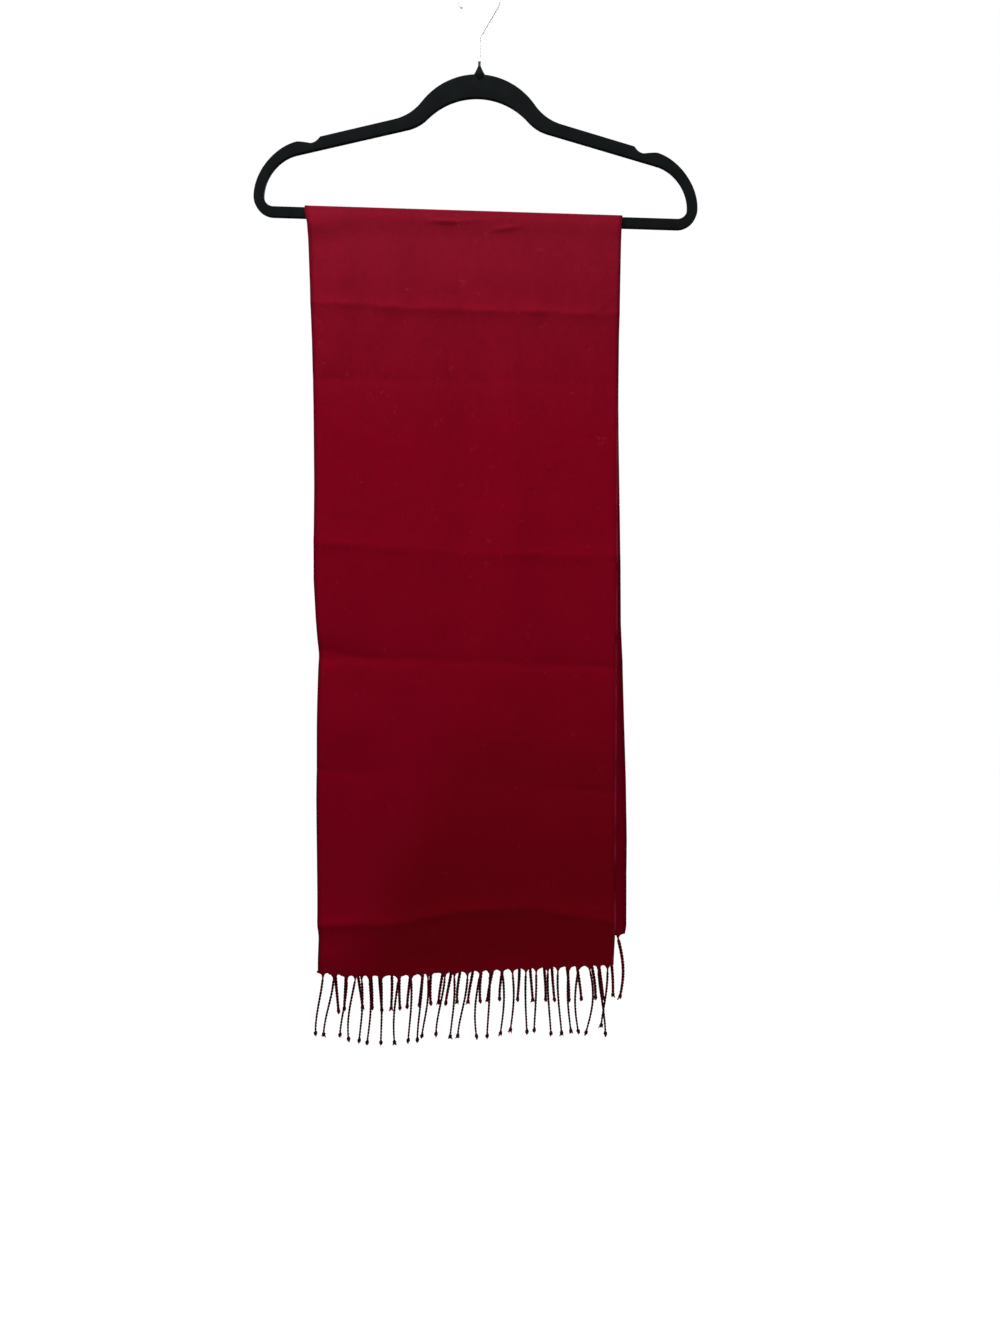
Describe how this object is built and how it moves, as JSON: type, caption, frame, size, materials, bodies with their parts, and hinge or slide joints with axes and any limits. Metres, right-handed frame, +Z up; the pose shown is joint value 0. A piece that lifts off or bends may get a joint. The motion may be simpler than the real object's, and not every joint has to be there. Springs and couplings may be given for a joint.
{
  "type": "fringed scarf on hanger",
  "caption": "Long plain scarf with a twisted tassel fringe at both ends, folded over the bar of a slim flocked hanger with a wire hook.",
  "frame": {"origin": "underside of the hook's top arc, where a rod or rail carries the hanger", "axes": "+Z up, -Y the front of the scarf, +X to the right as seen from the front"},
  "size_m": [0.4446, 0.0184, 1.0818],
  "materials": {
    "wool": "brushed twill",
    "fringe_yarn": "twisted wool yarn",
    "velvet_flock": "flocked",
    "hook_chrome": "polished"
  },
  "bodies": {
    "root": {"scarf_over_bar": "wool", "scarf_front_fall": "wool", "scarf_back_fall": "wool", "fringe_front": "fringe_yarn", "fringe_back": "fringe_yarn", "hanger_frame": "velvet_flock", "hook_wire": "hook_chrome"}
  },
  "joints": []
}
